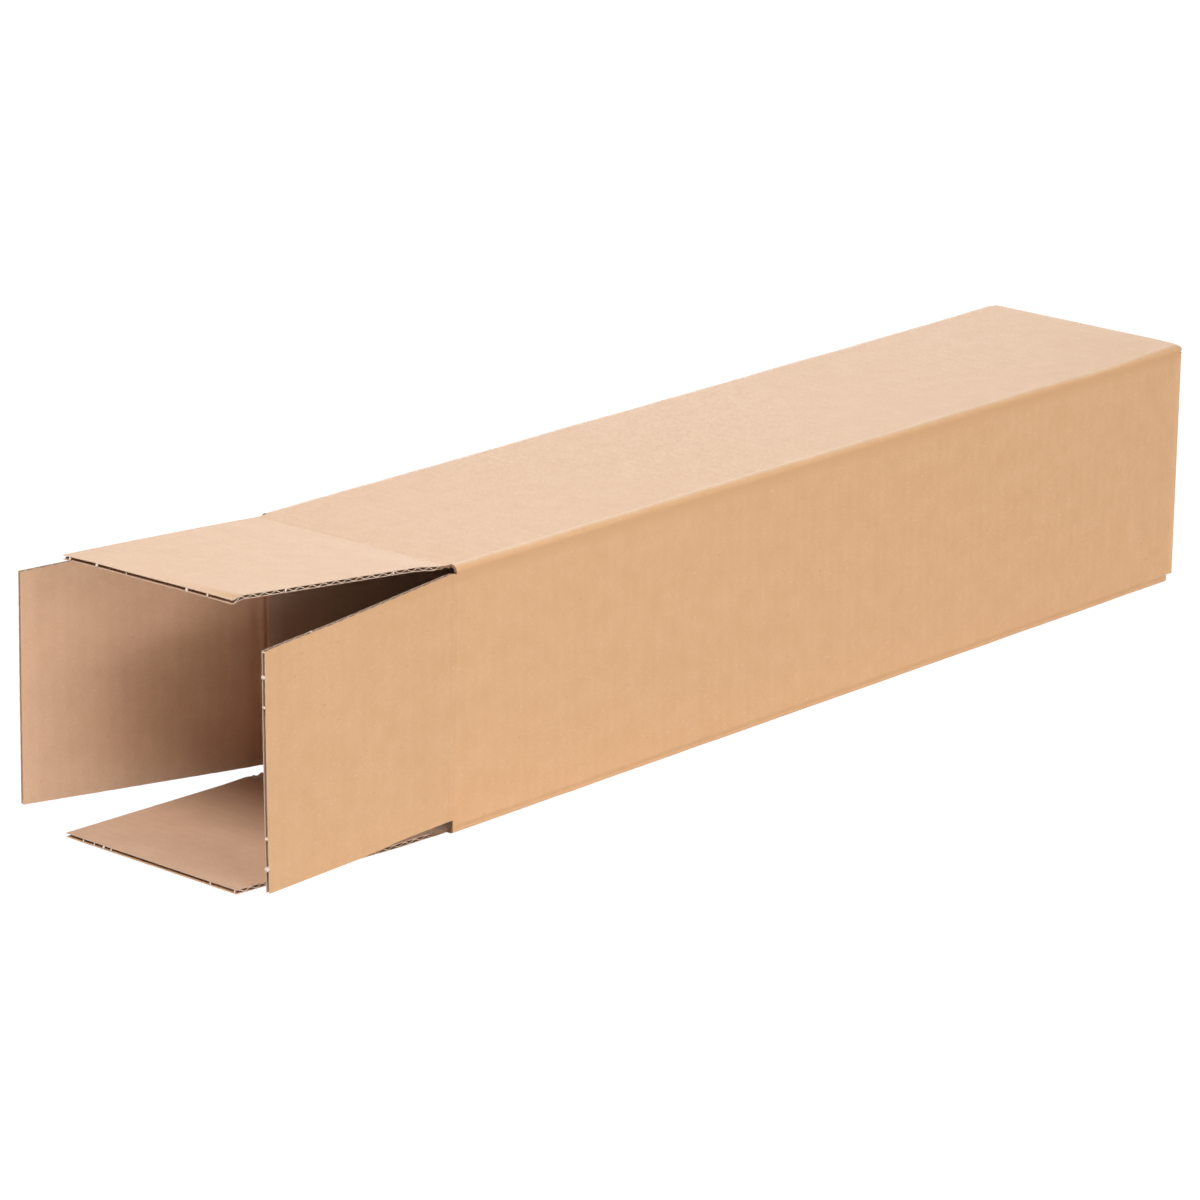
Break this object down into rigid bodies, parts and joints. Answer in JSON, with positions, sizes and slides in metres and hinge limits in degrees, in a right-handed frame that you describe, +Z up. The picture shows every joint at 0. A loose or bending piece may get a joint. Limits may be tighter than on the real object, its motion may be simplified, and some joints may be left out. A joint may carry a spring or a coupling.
{
  "type": "cardboard mailing tube",
  "caption": "Long square mailing tube of corrugated board, lying open: long flaps fold at its mouth, and a flap closes its shut end.",
  "frame": {"origin": "middle of the bottom panel's outer face, which lies on the surface", "axes": "+X along the tube from its open mouth to its shut end, +Y from the front panel to the back panel, +Z up"},
  "size_m": [0.6175, 0.155, 0.1259],
  "materials": {
    "kraft_board": "matt brown kraft liner",
    "kraft_flap": "matt brown kraft liner with cut fluted edges"
  },
  "bodies": {
    "walls": {"tube": "kraft_board"},
    "top": {"top_flap": "kraft_flap"},
    "bottom": {"bottom_flap": "kraft_flap"},
    "front": {"front_flap": "kraft_flap"},
    "back": {"back_flap": "kraft_flap"},
    "end": {"end_flap": "kraft_flap"}
  },
  "joints": [
    {"name": "top_crease", "type": "hinge", "parent": "walls", "child": "top", "pos_m": [-0.2495, 0, 0.116], "axis": [0, -1, 0], "range_deg": [-170, 95]},
    {"name": "bottom_crease", "type": "hinge", "parent": "walls", "child": "bottom", "pos_m": [-0.25225, 0, 0], "axis": [0, 1, 0], "range_deg": [-176.8, 88.2]},
    {"name": "front_crease", "type": "hinge", "parent": "walls", "child": "front", "pos_m": [-0.24675, -0.058, 0.058], "axis": [0, 0, -1], "range_deg": [-171.5, 93.5]},
    {"name": "back_crease", "type": "hinge", "parent": "walls", "child": "back", "pos_m": [-0.244, 0.058, 0.058], "axis": [0, 0, 1], "range_deg": [-158.5, 106.5]},
    {"name": "end_crease", "type": "hinge", "parent": "walls", "child": "end", "pos_m": [0.25225, -0.058, 0.058], "axis": [0, 0, -1], "range_deg": [0, 265]}
  ]
}
